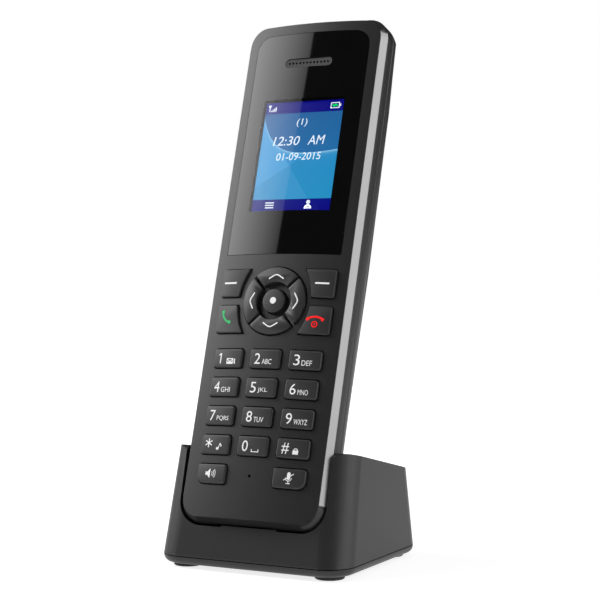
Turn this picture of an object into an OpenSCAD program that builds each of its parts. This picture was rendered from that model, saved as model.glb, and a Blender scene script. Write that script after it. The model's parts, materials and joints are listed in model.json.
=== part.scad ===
// Cordless phone handset standing in its charging cradle.
// Units are millimetres. +Z is up, the keypad faces -Y, and the origin is on the desk
// under the middle of the cradle. Handset pieces are drawn in the handset's own frame:
// X across it, Y through it from the face to the back, Z along it from its bottom end.

/* [Handset body] */
// Length of the handset
handset_length = 172; // [170:1:210]
// Width of the handset
handset_width = 52.5; // [51:0.5:64]
// Depth of the handset, from the top of the crowned face to the back
handset_depth = 21.8; // [21.5:0.1:26]
// Radius of the handset's corners, seen from the front
corner_radius = 8; // [6:0.5:9]
// Radius of the crown across the face
crown_radius = 134; // [110:1:250]
// Width of the chamfer round the face
chamfer_width = 1.75; // [1.2:0.05:2.2]
// Depth at which the chamfer starts
chamfer_start = 2.3; // [2.2:0.05:2.8]
// Depth at which the chamfer ends
chamfer_end = 4.9; // [4:0.1:5.5]
// Depth of the parting line between the two housings
parting_depth = 8.8; // [8:0.1:9.5]
// Height of the shadow gap at the parting line
parting_gap = 0.2; // [0.1:0.05:0.4]
// Radius of the long rounded edges at the back
back_radius = 12; // [9:0.5:12]
// Radius of the rounded ends at the back
end_radius = 5; // [3:0.5:7]
// Wall thickness of the housings
housing_wall = 1.6; // [1.2:0.1:2]
// Depth of the inner face of the front plate
plate_depth = 3.3; // [3:0.1:3.6]

/* [Screen] */
// Width of the lens
lens_width = 42.2; // [38:0.1:44]
// Length of the lens
lens_length = 77.8; // [70:0.1:79]
// Distance from the top end of the handset to the lens
lens_margin = 5.2; // [4:0.1:8]
// Radius of the two upper corners of the lens
lens_corner = 5.3; // [3:0.1:7]
// Depth of the flat back of the lens
lens_back = 2.9; // [2.6:0.1:3.1]
// Hairline gap round the lens
lens_gap = 0.15; // [0.1:0.05:0.3]
// Width of the picture on the display
picture_width = 29.4; // [24:0.1:32]
// Height of the picture on the display
picture_height = 38.6; // [30:0.1:40]
// Distance from the top of the lens to the picture
picture_margin = 24; // [20:0.5:28]
// Border of the display module round its picture
module_border = 2.4; // [1.5:0.1:3]
// Depth of the display module's body
module_depth = 2.3; // [1.8:0.1:2.6]
// Length of the earpiece grille
grille_length = 17.5; // [12:0.5:20]
// Width of the earpiece grille
grille_width = 3.1; // [2.5:0.1:4]
// Distance from the top of the lens to the middle of the grille
grille_margin = 10.7; // [8:0.1:14]
// Number of sound holes in the grille
grille_holes = 12; // [8:1:14]
// Diameter of one sound hole
grille_hole = 0.8; // [0.5:0.1:1]
// How far the grille lies below the lens
grille_recess = 0.4; // [0.2:0.1:0.8]

/* [Keypad] */
// Width of the left and right keys
outer_key_width = 11; // [9:0.1:12]
// Width of the middle keys
middle_key_width = 11; // [9:0.1:12]
// Height of a digit key
key_height = 6.3; // [5:0.1:7]
// Space between the rows of digit keys
row_gap = 3.2; // [2:0.1:3.3]
// Distance from the middle of the face to the outer edge of the keys
key_edge = 19.6; // [19:0.1:21]
// Height of the middle of the lowest row above the bottom end
lowest_row = 15.6; // [14:0.1:17]
// Corner radius of a digit key
key_corner = 0.9; // [0.3:0.1:2]
// Corner radius of the two lowest keys at their outer bottom corners
outer_corner = 2.6; // [0.3:0.1:3]
// How far the keys stand above the face
key_rise = 0.9; // [0.7:0.1:1.3]
// How far a key travels
key_travel = 0.5; // [0.3:0.1:0.5]
// Length of the raised bar on the middle digit key
bar_length = 2.8; // [2:0.1:4]
// Diameter of the raised bar
bar_diameter = 0.5; // [0.4:0.1:0.7]
// Gap round each key
key_gap = 0.35; // [0.3:0.05:0.5]
// Space between the top row of digit keys and the navigation ring
nav_gap = 4.95; // [3:0.05:6]
// Outer radius of the navigation ring
nav_outer = 11.2; // [10:0.1:11.5]
// Inner radius of the navigation ring
nav_inner = 6.4; // [5.5:0.1:7]
// Gap between the four navigation keys
nav_split = 1.1; // [0.8:0.1:1.6]
// Depth of the round well that the navigation keys stand in
nav_well = 1.3; // [0.8:0.1:1.8]
// Radius of the key in the middle of the ring
ok_radius = 4; // [3:0.1:4.6]
// Distance from the middle of the face to the outer edge of the four side keys
side_edge = 20.8; // [20:0.1:21.2]
// Height of one side key
side_height = 9.3; // [8:0.1:10]
// Gap between the upper and the lower side key
side_split = 2.9; // [2:0.1:4]
// Radius of the arc that cuts the inner edge of the side keys
side_arc = 20; // [18:0.5:24]
// How far past the middle of the face that arc has its centre
side_arc_offset = 6.6; // [5:0.1:8]
// Width of the side key at its narrow end before the arc cuts it
side_width = 12.5; // [11:0.1:12.5]
// Diameter of the microphone hole
mic_hole = 1; // [0.6:0.1:1.4]

/* [Trim and back] */
// Height above the bottom end at which the side trims start
trim_start = 8.2; // [8:0.1:20]
// Distance from the top end at which the side trims stop
trim_stop = 5.6; // [5:0.1:20]
// Thickness of the side trims
trim_thickness = 0.6; // [0.4:0.1:0.8]
// Length of the belt clip slots
clip_slot_length = 11.4; // [8:0.1:14]
// Width of the belt clip slots
clip_slot_width = 1.6; // [1:0.1:2.5]
// Depth of the belt clip slots
clip_slot_depth = 1; // [0.6:0.1:1.2]
// Distance from the top end to the belt clip slots
clip_slot_margin = 29.8; // [25:0.1:40]
// Distance from the parting line to the belt clip slots
clip_slot_setback = 3.2; // [2:0.1:5]
// Diameter of the loudspeaker
speaker_diameter = 20; // [16:0.5:24]
// Distance from the top end to the middle of the loudspeaker
speaker_margin = 40; // [36:0.5:46]
// Diameter of one loudspeaker hole
speaker_hole = 1.4; // [0.8:0.1:2]

/* [Battery] */
// Diameter of one battery cell
cell_diameter = 10.5; // [10:0.1:10.8]
// Length of one battery cell
cell_length = 44.5; // [42:0.5:46]
// Space between the two cells
cell_gap = 0.9; // [0.6:0.1:1.5]
// Depth of one leaf spring at the end of a cell
leaf_length = 4; // [3:0.5:6]
// Thickness of the contact plates
plate_thickness = 0.4; // [0.3:0.1:0.6]
// Height of the battery well above the bottom end
well_start = 46; // [44:1:50]
// Clearance round the cells in the well
cell_clearance = 0.4; // [0.3:0.1:0.8]
// Thickness of the battery door
door_thickness = 1.4; // [1.2:0.1:1.6]
// How far the door overlaps the well on every side
door_lap = 2.6; // [2:0.1:3]
// Gap round the door
door_gap = 0.3; // [0.3:0.05:0.5]
// Diameter of the door's hinge pins
door_pin = 1; // [0.8:0.1:1.2]
// Clearance of the hinge pins, measured on the radius
pin_clearance = 0.06; // [0.03:0.01:0.1]

/* [Cradle] */
// How far each side of the cradle reaches past the handset at the seam
arm_width = 8; // [6.8:0.1:15]
// Depth of the cradle at its seam
cradle_depth = 60.6; // [58:0.5:74]
// Radius of the cradle's upright corners
cradle_corner = 9.5; // [7:0.5:11]
// Height of the seam above the desk
seam_height = 4.1; // [4:0.1:5]
// Height of the arms at the front
arm_height = 39.4; // [34:0.1:42]
// Lean of the front wall in degrees
front_lean = 14; // [10:0.5:16]
// Lean of the side walls in degrees
side_lean = 2.5; // [1:0.1:3]
// Lean of the back wall in degrees
back_lean = 7.5; // [4:0.5:9]
// Fall of the top edge towards the back in degrees
top_fall = 12.5; // [8:0.1:14]
// Radius where the top meets the front and the back
top_radius = 4; // [1:0.5:5]
// Wall thickness of the cradle
cradle_wall = 2; // [1.6:0.1:2.4]
// Lean of the handset in degrees
handset_lean = 17; // [15:0.5:18]
// Height of the handset's bottom end above the desk, at its face
seat_height = 16.1; // [15.5:0.1:20]
// How far the handset's face stands in front of the cradle's seam at that height
seat_forward = 1.1; // [0.5:0.1:2]
// Clearance between the handset and its pocket
pocket_clearance = 0.3; // [0.3:0.05:0.6]
// Width of the raised middle of the front rim
lip_width = 20; // [12:0.5:30]
// Height of the raised middle of the front rim
lip_height = 0.45; // [0.2:0.05:0.6]
// Radius of the rounded lower edge of the cradle
lower_radius = 2.4; // [1.5:0.1:2.5]
// Diameter of a rubber foot
foot_diameter = 9.5; // [8:0.1:11]
// Distance from the cradle's edge to the middle of a foot
foot_inset = 8.4; // [8:0.1:10]
// How far the feet hold the lower shell off the desk
foot_height = 1.3; // [0.8:0.1:1.4]
// Depth of the recess that holds a foot
foot_recess = 0.5; // [0.3:0.1:0.6]
// Width of the power inlet's opening
inlet_width = 7.5; // [6:0.1:9]
// Height of the power inlet's opening
inlet_height = 2.9; // [2:0.1:4]
// Depth of the power inlet's body
inlet_length = 6; // [5:0.1:8]
// Diameter of a charging pin
pin_diameter = 1.8; // [1.4:0.1:2.2]
// Distance between the two charging pins
pin_pitch = 12; // [9:0.5:12]
// Depth of the charging pins behind the handset's face
pin_depth = 13; // [10:0.5:14]
// How far the pin tips stop short of the contacts
pin_tip_gap = 0.05; // [0.02:0.01:0.1]

/* [Screws] */
// Diameter of a screw's thread
screw_diameter = 2; // [1.6:0.1:2.2]
// Diameter of a screw's head
screw_head = 3.6; // [3:0.1:4]
// Thickness of a screw's head
screw_head_height = 1.3; // [1:0.1:1.5]
// Clearance of a screw's thread, measured on the radius
screw_clearance = 0.1; // [0.05:0.01:0.2]

/* [Hidden] */

$fn = 64;
far = 200; // longer than anything that is cut
dark = [0.13, 0.13, 0.135];
darker = [0.09, 0.09, 0.095];
gloss = [0.02, 0.02, 0.025];
silver = [0.68, 0.68, 0.69];
metal = [0.75, 0.72, 0.66];
board_green = [0.05, 0.3, 0.16];

half_width = handset_width / 2;
half_depth_rear = handset_depth - back_radius; // where the rounded back starts
cradle_width = handset_width + 2 * arm_width;
// Everything is moved along Y so that the row's origin lies under the middle of the whole object
lean_sin = sin(handset_lean);
lean_cos = cos(handset_lean);
reach_front = cradle_depth / 2 + max(0, seat_forward - chamfer_width * lean_sin);
reach_back = (handset_length - end_radius) * lean_sin + (handset_depth - end_radius) * lean_cos
    + end_radius - seat_forward - cradle_depth / 2;
row_shift = (reach_front - max(reach_back, cradle_depth / 2)) / 2;
front_y = row_shift - cradle_depth / 2;
back_y = row_shift + cradle_depth / 2;
seat_y = front_y - seat_forward;

lens_top = handset_length - lens_margin;
lens_bottom = lens_top - lens_length;
picture_top = lens_top - picture_margin;
picture_bottom = picture_top - picture_height;
grille_z = lens_top - grille_margin;
grille_pitch = (grille_length - grille_width) / (grille_holes - 1);

outer_key_x = key_edge - outer_key_width / 2;
row_z = [for (row = [0:4]) lowest_row + (4 - row) * (key_height + row_gap)];
bar_place = [2.3, 1.2]; // from the middle of the key to the middle of its bar
nav_height = row_z[0] + key_height / 2 + nav_gap + nav_outer;
side_z = (side_height + side_split) / 2;
nav_mid = (nav_outer + nav_inner) / 2;
side_mid_x = side_edge - side_width / 3;
key_points = concat(
    [for (row = [0:3], col = [-1:1]) [col * outer_key_x, row_z[row]]],
    [for (col = [-1, 1]) [col * outer_key_x, row_z[4]]],
    [for (side = [-1, 1], up = [-1, 1]) [side * side_mid_x, nav_height + up * side_z]],
    [for (turn = [0:90:270]) [nav_mid * sin(turn), nav_height + nav_mid * cos(turn)]],
    [[0, nav_height]]
);

// Layers under the keys, from the face backwards
key_base = 4.2;
membrane_front = key_base + key_travel + 0.05;
membrane_thickness = 1;
dome_height = 0.3;
dome_radius = 2;
dome_film = 0.15;
board_front = membrane_front + membrane_thickness + dome_film;
board_thickness = 1;
board_back = board_front + board_thickness;
board_half = half_width - 4.6;
board_bottom = 10.2;
board_top = lens_top - 18;
keypad_top = nav_height + side_z + side_height / 2 + 3;
inner_edge = housing_wall + 0.3;
tongue_height = 0.8;
tongue_outer = housing_wall / 2;

well_wall = 1;
door_front = handset_depth - door_thickness;
cell_y = door_front - (cell_diameter + cell_clearance) / 2;
well_floor = cell_y - (cell_diameter + cell_clearance) / 2;
cell_pitch = cell_diameter + cell_gap;
well_half = cell_pitch / 2 + cell_diameter / 2 + cell_clearance;
well_length = cell_length + leaf_length + 2 * plate_thickness + cell_clearance;
well_end = well_start + well_length;
cell_start = well_start + plate_thickness;
door_half = well_half + door_lap / 2;
door_start = well_start - door_lap;
door_end = well_end + door_lap;
knuckle_radius = 1.1;
knuckle_room = 0.35;
hinge_z = door_start + knuckle_radius;
hinge_y = handset_depth - knuckle_radius;
door_pin_length = 1.3;
ledge_border = 1.8;
ledge_depth = 1.2;

housing_screw_x = half_width - 8.75;
housing_screw_z = [6.5, handset_length - 19];
housing_screw_length = 8.4;
post_radius = 2.3;
screw_seat = 12.6; // depth of the face that a housing screw's head bears on
post_end = 9.6; // depth where the front housing's posts end

speaker_z = handset_length - speaker_margin;
speaker_height = 4;
speaker_front = handset_depth - housing_wall - speaker_height;
capsule_diameter = 11;
mic_z = lowest_row;
mic_diameter = 4;

speaker_ring = 5;
speaker_holes = 6;
grille_flange = 0.6;
capsule_front = plate_depth + grille_flange + 0.2;
capsule_height = 2.8;
mic_front = plate_depth + 0.05;
shield_size = [22, 15, 1.4];
shield_z = speaker_z - speaker_diameter / 2 - 11;
rib_x = half_width - 7;
rib_size = [1.6, 6];
clip_slot_y = parting_depth + clip_slot_setback;
clip_slot_x = half_width - back_radius
    + sqrt(pow(back_radius, 2) - pow(clip_slot_y + clip_slot_width - half_depth_rear, 2));
nav_rise = 0.75;

contact_width = 4;
contact_depth = 5;
contact_thickness = 0.5;
contact_recess = 0.2;
carrier_depth = 5;
carrier_thickness = 4;
pin_top = contact_recess - pin_tip_gap;
pin_flange = 0.5;
carrier_top = -(pocket_clearance + lip_height + cradle_wall);
rib_width = 2;

top_slab = arm_height + 10; // where the leaning walls are measured, above the arms
lower_plate = 1.5;
seam_gap = 0.25;
boss_split = 5;
boss_top = 11;
boss_radius = 3.2;
cradle_screw_seat = 3.4;
cradle_screw_length = 6;
foot_x = cradle_width / 2 - foot_inset;
foot_y = cradle_depth / 2 - foot_inset;
inlet_z = 8.2;
inlet_wall = 0.35;
inlet_back = back_y - 0.9;
circuit_top = inlet_z - inlet_height / 2 - inlet_wall;
circuit_thickness = 1.2;
circuit_size = [40, 31];
circuit_y = inlet_back - circuit_size[1] / 2 - 3;

// ---- shared shapes ----

module in_handset() {
    translate([0, seat_y, seat_height])
        rotate([-handset_lean, 0, 0])
            children();
}

// Stands a flat shape drawn as [across, along] on the face, between two depths
module through(from, to) {
    translate([0, to, 0])
        rotate([90, 0, 0])
            linear_extrude(to - from)
                children();
}

module rounded_rect(width, height, radius) {
    square([width - 2 * radius, height], center = true);
    square([width, height - 2 * radius], center = true);
    for (x = [-1, 1], y = [-1, 1])
        translate([x * (width / 2 - radius), y * (height / 2 - radius)])
            circle(radius);
}

// The handset's outline seen from the front, moved in by inset
module outline(inset = 0) {
    translate([0, handset_length / 2])
        rounded_rect(handset_width - 2 * inset, handset_length - 2 * inset,
                     corner_radius - inset);
}

// Upright slab with rounded corners whose edge steps in as [height, inset] points say
module stepped_slab(width, length, radius, steps) {
    straight_x = width / 2 - radius;
    straight_y = length / 2 - radius;
    back = [for (i = [len(steps) - 1:-1:0]) steps[i]];
    rotate([90, 0, 0])
        linear_extrude(2 * straight_y, center = true)
            polygon(concat(
                [for (s = steps) [width / 2 - s[1], s[0]]],
                [for (s = back) [s[1] - width / 2, s[0]]]));
    rotate([90, 0, 90])
        linear_extrude(2 * straight_x, center = true)
            polygon(concat(
                [for (s = steps) [length / 2 - s[1], s[0]]],
                [for (s = back) [s[1] - length / 2, s[0]]]));
    for (x = [-1, 1], y = [-1, 1])
        translate([x * straight_x, y * straight_y, 0])
            rotate_extrude()
                polygon(concat(
                    [[0, steps[0][0]]],
                    [for (s = steps) [radius - s[1], s[0]]],
                    [[0, back[0][0]]]));
}

// The same slab lying behind the handset's face, with its steps given as depths
module handset_slab(steps) {
    translate([0, 0, handset_length / 2])
        rotate([-90, 0, 0])
            stepped_slab(handset_width, handset_length, corner_radius, steps);
}

// How far the chamfered edge stands in from the handset's side at one depth
function chamfer_inset(depth) =
    chamfer_width * (chamfer_end - depth) / (chamfer_end - chamfer_start);

// Everything below the crowned face, raised by rise
module under_crown(rise = 0) {
    translate([0, crown_radius, handset_length / 2])
        cylinder(h = 2 * far, r = crown_radius + rise, center = true, $fn = 256);
}

// Cross-section of the back of the handset, moved in by inset
module back_section(inset = 0, front = 0) {
    radius = back_radius - inset;
    straight = half_width - back_radius;
    translate([-half_width + inset, front])
        square([handset_width - 2 * inset, half_depth_rear - front]);
    translate([-straight, front])
        square([2 * straight, handset_depth - inset - front]);
    for (x = [-1, 1])
        translate([x * straight, half_depth_rear])
            circle(radius);
}

// The back of the handset seen from the side, moved in by inset
module back_profile(inset = 0, front = 0) {
    radius = end_radius - inset;
    translate([inset, front])
        square([handset_length - 2 * inset, handset_depth - end_radius - front]);
    translate([end_radius, front])
        square([handset_length - 2 * end_radius, handset_depth - inset - front]);
    for (z = [end_radius, handset_length - end_radius])
        translate([z, handset_depth - end_radius])
            circle(radius);
}

module back_solid(inset = 0, front = 0) {
    intersection() {
        linear_extrude(far)
            back_section(inset, front);
        rotate([0, -90, 0])
            linear_extrude(far, center = true)
                back_profile(inset, front);
        through(front, far)
            outline(inset);
    }
}

module screw(length, diameter = screw_diameter) {
    cylinder(h = length, d = diameter);
    translate([0, 0, -screw_head_height])
        difference() {
            cylinder(h = screw_head_height, d = screw_head);
            translate([0, 0, -0.1])
                cylinder(h = 0.7, d = 1.8, $fn = 6);
        }
}

module at_housing_screws(depth) {
    for (x = [-1, 1], z = housing_screw_z)
        translate([x * housing_screw_x, depth, z])
            rotate([90, 0, 0])
                children();
}

// ---- key outlines, each grown by a gap for its opening ----

module digit_outline(column, row, grow = 0) {
    width = column == 0 ? middle_key_width : outer_key_width;
    translate([column * outer_key_x, row_z[row]])
        rounded_rect(width + 2 * grow, key_height + 2 * grow, key_corner + grow);
}

// One of the two lowest keys, with a rounder outer bottom corner
module low_outline(side, grow = 0) {
    radius = outer_corner + grow;
    corner_x = outer_key_width / 2 + grow - radius;
    corner_z = -key_height / 2 - grow + radius;
    difference() {
        digit_outline(side, 4, grow);
        translate([side * outer_key_x, row_z[4]])
            difference() {
                translate([side > 0 ? corner_x : -corner_x - radius - 1, corner_z - radius - 1])
                    square([radius + 1, radius + 1]);
                translate([side * corner_x, corner_z])
                    circle(radius);
            }
    }
}

module side_outline(side, up, grow = 0) {
    difference() {
        translate([side * (side_edge - side_width / 2), nav_height + up * side_z])
            rounded_rect(side_width + 2 * grow, side_height + 2 * grow, key_corner + grow);
        translate([-side * side_arc_offset, nav_height])
            circle(side_arc - grow, $fn = 128);
    }
}

module nav_outline(turn, grow = 0) {
    reach = 2 * nav_outer;
    start = (nav_split / 2 - grow) * sqrt(2);
    translate([0, nav_height])
        rotate(-turn)
            intersection() {
                difference() {
                    circle(nav_outer + grow, $fn = 96);
                    circle(nav_inner - grow);
                }
                polygon([[0, start], [reach, reach + start], [-reach, reach + start]]);
            }
}

module ok_outline(grow = 0) {
    translate([0, nav_height])
        circle(ok_radius + grow);
}

module key(rise = key_rise) {
    color(dark)
        in_handset()
            intersection() {
                through(-far / 4, key_base)
                    children();
                under_crown(rise);
            }
}

// ---- cradle ----

module cradle_block(inset, bottom) {
    hull() {
        for (level = [bottom, top_slab]) {
            rise = level - seam_height;
            front = front_y + rise * tan(front_lean) + inset;
            back = back_y - rise * tan(back_lean) - inset;
            width = cradle_width - 2 * rise * tan(side_lean) - 2 * inset;
            translate([0, (front + back) / 2, level])
                linear_extrude(0.01)
                    rounded_rect(width, back - front, cradle_corner - inset);
        }
    }
}

// Where the front and back walls stand at one height above the desk
function front_wall(level) = front_y + (level - seam_height) * tan(front_lean);
function back_wall(level) = back_y - (level - seam_height) * tan(back_lean);
// Height at which the sloping top meets the back wall
back_top = (arm_height - (back_wall(0) - front_wall(arm_height)) * tan(top_fall))
    / (1 - tan(back_lean) * tan(top_fall));

// Side view of the cradle under its sloping top, moved in by inset
module cradle_side(inset) {
    radius = max(top_radius - inset, 0.5);
    offset(r = radius, $fn = 48)
        offset(delta = -radius)
            polygon([
                [front_wall(0) + inset, 0],
                [front_wall(arm_height) + inset, arm_height - inset],
                [back_wall(back_top) - inset, back_top - inset],
                [back_wall(0) - inset, 0]
            ]);
}

module cradle_solid(inset, bottom) {
    intersection() {
        cradle_block(inset, bottom);
        rotate([90, 0, 90])
            linear_extrude(far, center = true)
                cradle_side(inset);
    }
}

// Room for the handset, grown by gap on every side and open to the front and the top
module pocket(gap) {
    in_handset()
        intersection() {
            translate([0, 0, -far / 4])
                linear_extrude(far)
                    back_section(-gap, -far / 8);
            through(-far / 8, far / 2)
                translate([0, -lip_height])
                    outline(-gap);
        }
}

module at_feet() {
    for (x = [-1, 1], y = [-1, 1])
        translate([x * foot_x, row_shift + y * foot_y, 0])
            children();
}

module cradle_upper_shell() {
    lip_floor = lip_height + pocket_clearance;
    color(dark)
        difference() {
            union() {
                difference() {
                    cradle_solid(0, seam_height);
                    difference() {
                        cradle_solid(cradle_wall, seam_height - 1);
                        pocket(pocket_clearance + cradle_wall);
                        at_feet()
                            translate([0, 0, boss_split])
                                cylinder(h = arm_height, r = boss_radius);
                    }
                    pocket(pocket_clearance);
                }
                // raised middle of the rim, and the two ribs that the handset stands on
                intersection() {
                    cradle_solid(0, seam_height);
                    in_handset()
                        union() {
                            translate([-lip_width / 2, -far / 8, -lip_floor - 0.5])
                                cube([lip_width, far / 8 + chamfer_end + 2, lip_height + 0.5]);
                            for (x = [-1, 1])
                                translate([x * (lip_width - rib_width) / 2 - rib_width / 2,
                                           chamfer_end + 0.5, -lip_floor - 0.5])
                                    cube([rib_width, handset_depth - end_radius - chamfer_end - 1,
                                          lip_floor + 0.5]);
                        }
                }
            }
            at_feet()
                cylinder(h = boss_top - 0.8, d = screw_diameter + 2 * screw_clearance);
            in_handset()
                for (x = [-1, 1])
                    translate([x * pin_pitch / 2, pin_depth, -6])
                        cylinder(h = 8, d = pin_diameter + 0.6);
            translate([0, back_y, inlet_z])
                cube([inlet_width + 2 * inlet_wall + 0.4, 12, inlet_height + 2 * inlet_wall + 0.4],
                     center = true);
        }
}

// Slab with the cradle's outline whose edge steps in as the points say
module cradle_slab(steps) {
    translate([0, row_shift, 0])
        stepped_slab(cradle_width, cradle_depth, cradle_corner, steps);
}

module cradle_lower_shell() {
    tongue_inset = cradle_wall + 0.35;
    rounded = [for (a = [0:15:90])
        [foot_height + lower_radius * (1 - cos(a)), lower_radius * (1 - sin(a))]];
    color(darker)
        difference() {
            union() {
                difference() {
                    cradle_slab(concat(rounded, [[seam_height - seam_gap, 0]]));
                    cradle_slab([[foot_height + lower_plate, tongue_inset + 1.2],
                                 [seam_height + 1, tongue_inset + 1.2]]);
                }
                difference() {
                    cradle_slab([[foot_height + 1, tongue_inset + 0.4],
                                 [seam_height + 0.8, tongue_inset + 0.4]]);
                    cradle_slab([[foot_height, tongue_inset + 1.2],
                                 [seam_height + 1, tongue_inset + 1.2]]);
                }
                at_feet()
                    translate([0, 0, foot_height])
                        cylinder(h = boss_split - foot_height, r = boss_radius);
                for (x = [-1, 1], y = [-1, 1])
                    translate([x * (circuit_size[0] / 2 - 4), circuit_y + y * (circuit_size[1] / 2 - 4),
                               foot_height + 0.5])
                        cylinder(h = circuit_top - circuit_thickness - foot_height - 0.5, r = 1.8);
            }
            at_feet() {
                translate([0, 0, -1])
                    cylinder(h = foot_height + foot_recess + 1, d = foot_diameter);
                cylinder(h = cradle_screw_seat, d = screw_head + 0.4);
                cylinder(h = boss_top, d = screw_diameter + 2 * screw_clearance);
            }
        }
}

module cradle_feet() {
    color([0.05, 0.05, 0.05])
        at_feet() {
            translate([0, 0, 0.3])
                cylinder(h = foot_height + foot_recess - 0.3, d = foot_diameter);
            cylinder(h = 0.3, d1 = foot_diameter - 0.6, d2 = foot_diameter);
        }
}

module cradle_screws() {
    color(metal)
        at_feet()
            translate([0, 0, cradle_screw_seat])
                screw(cradle_screw_length);
}

module cradle_circuit_board() {
    color(board_green)
        translate([-circuit_size[0] / 2, circuit_y - circuit_size[1] / 2, circuit_top - circuit_thickness])
            cube([circuit_size[0], circuit_size[1], circuit_thickness]);
}

module power_inlet() {
    outer = [inlet_width + 2 * inlet_wall, inlet_length, inlet_height + 2 * inlet_wall];
    color(metal)
        translate([0, inlet_back - inlet_length / 2, inlet_z]) {
            difference() {
                cube(outer, center = true);
                translate([0, inlet_wall, 0])
                    cube([inlet_width, inlet_length, inlet_height], center = true);
            }
            translate([0, -0.5, inlet_height / 2 - 1])
                cube([inlet_width - 2.4, inlet_length - 1, 0.7], center = true);
        }
}

module charge_pin_carrier() {
    color(darker)
        in_handset()
            difference() {
                translate([-pin_pitch / 2 - 2.5, pin_depth - carrier_depth / 2,
                           carrier_top - carrier_thickness])
                    cube([pin_pitch + 5, carrier_depth, carrier_thickness]);
                for (x = [-1, 1])
                    translate([x * pin_pitch / 2, pin_depth, carrier_top - carrier_thickness - 1])
                        cylinder(h = carrier_thickness + 2, d = pin_diameter + 2 * pin_clearance);
            }
}

module charge_pin(side) {
    flange_top = carrier_top - carrier_thickness - pin_tip_gap;
    tip = pin_diameter / 4;
    color([0.83, 0.68, 0.36])
        in_handset()
            translate([side * pin_pitch / 2, pin_depth, 0]) {
                translate([0, 0, flange_top])
                    cylinder(h = pin_top - tip - flange_top, d = pin_diameter);
                translate([0, 0, pin_top - tip])
                    cylinder(h = tip, d1 = pin_diameter, d2 = pin_diameter / 2);
                translate([0, 0, flange_top - pin_flange])
                    cylinder(h = pin_flange, d = pin_diameter + 0.8);
            }
}

module charge_pin_left() {
    charge_pin(-1);
}

module charge_pin_right() {
    charge_pin(1);
}

// ---- handset housings ----

module lens_outline(grow = 0) {
    small = 0.6;
    translate([0, (lens_top + lens_bottom) / 2]) {
        translate([0, lens_length / 4])
            rounded_rect(lens_width + 2 * grow, lens_length / 2 + 2 * grow, lens_corner + grow);
        translate([0, -lens_corner / 2])
            rounded_rect(lens_width + 2 * grow, lens_length - lens_corner + 2 * grow, small);
    }
}

module grille_outline(grow = 0) {
    translate([0, grille_z]) {
        square([grille_length - grille_width, grille_width + 2 * grow], center = true);
        for (x = [-1, 1])
            translate([x * (grille_length - grille_width) / 2, 0])
                circle(grille_width / 2 + grow);
    }
}

module all_key_outlines(grow) {
    for (row = [0:3], column = [-1:1])
        digit_outline(column, row, grow);
    for (side = [-1, 1]) {
        low_outline(side, grow);
        for (up = [-1, 1])
            side_outline(side, up, grow);
    }
    for (turn = [0:90:270])
        nav_outline(turn, grow);
    ok_outline(grow);
}

// Band of the chamfer that a side trim fills, or the cut for it when it reaches out past the surface
module trim_band(side, past = 0) {
    top = chamfer_start + 0.15;
    bottom = chamfer_end - 0.15;
    slope = chamfer_end - chamfer_start;
    shift = trim_thickness * sqrt(pow(chamfer_width, 2) + pow(slope, 2)) / slope;
    length = handset_length - trim_start - trim_stop;
    intersection() {
        difference() {
            handset_slab([[top, chamfer_inset(top) - past], [bottom, chamfer_inset(bottom) - past]]);
            handset_slab([[top - 0.5, chamfer_inset(top - 0.5) + shift],
                          [bottom + 0.5, chamfer_inset(bottom + 0.5) + shift]]);
        }
        translate([side * half_width, 0, trim_start + length / 2])
            cube([half_width, far, length], center = true);
    }
}

module side_trim_left() {
    color(silver)
        in_handset()
            trim_band(-1);
}

module side_trim_right() {
    color(silver)
        in_handset()
            trim_band(1);
}

module front_housing() {
    edge = parting_depth - parting_gap / 2;
    window = module_border - 0.2;
    color(dark)
        in_handset()
            difference() {
                union() {
                    difference() {
                        intersection() {
                            handset_slab([[-1, chamfer_width], [chamfer_start, chamfer_width],
                                          [chamfer_end, 0], [edge, 0]]);
                            under_crown();
                        }
                        handset_slab([[plate_depth, chamfer_width + housing_wall / 2],
                                      [chamfer_end, inner_edge], [parting_depth + 1, inner_edge]]);
                        handset_slab([[edge - tongue_height, tongue_outer],
                                      [parting_depth + 1, tongue_outer]]);
                    }
                    at_housing_screws(post_end)
                        cylinder(h = post_end - plate_depth + 0.2, r = post_radius);
                }
                at_housing_screws(post_end + 1)
                    cylinder(h = post_end - plate_depth + 0.2, d = screw_diameter + 2 * screw_clearance);
                through(-1, lens_back)
                    lens_outline(lens_gap);
                through(-1, plate_depth + 1)
                    translate([0, (picture_top + picture_bottom) / 2])
                        square([picture_width + 2 * window, picture_height + 2 * window],
                               center = true);
                through(-1, plate_depth + 1)
                    grille_outline(0);
                through(-1, plate_depth + 1)
                    all_key_outlines(key_gap);
                through(-1, nav_well)
                    translate([0, nav_height])
                        circle(nav_outer + key_gap + 0.15, $fn = 96);
                translate([0, plate_depth + 1, mic_z])
                    rotate([90, 0, 0])
                        cylinder(h = plate_depth + 3, d = mic_hole);
                trim_band(-1, 1);
                trim_band(1, 1);
            }
}

module screen_lens() {
    color(gloss)
        in_handset()
            difference() {
                intersection() {
                    through(-1, lens_back)
                        lens_outline();
                    under_crown();
                }
                through(-1, lens_back + 1)
                    grille_outline(0.05);
            }
}

module earpiece_grille() {
    color([0.2, 0.2, 0.21])
        in_handset()
            difference() {
                union() {
                    through(grille_recess, plate_depth)
                        grille_outline();
                    through(plate_depth, plate_depth + grille_flange)
                        grille_outline(0.8);
                }
                for (i = [0:grille_holes - 1])
                    translate([(i - (grille_holes - 1) / 2) * grille_pitch, plate_depth + 1, grille_z])
                        rotate([90, 0, 0])
                            cylinder(h = plate_depth + 2, d = grille_hole);
            }
}

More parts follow.
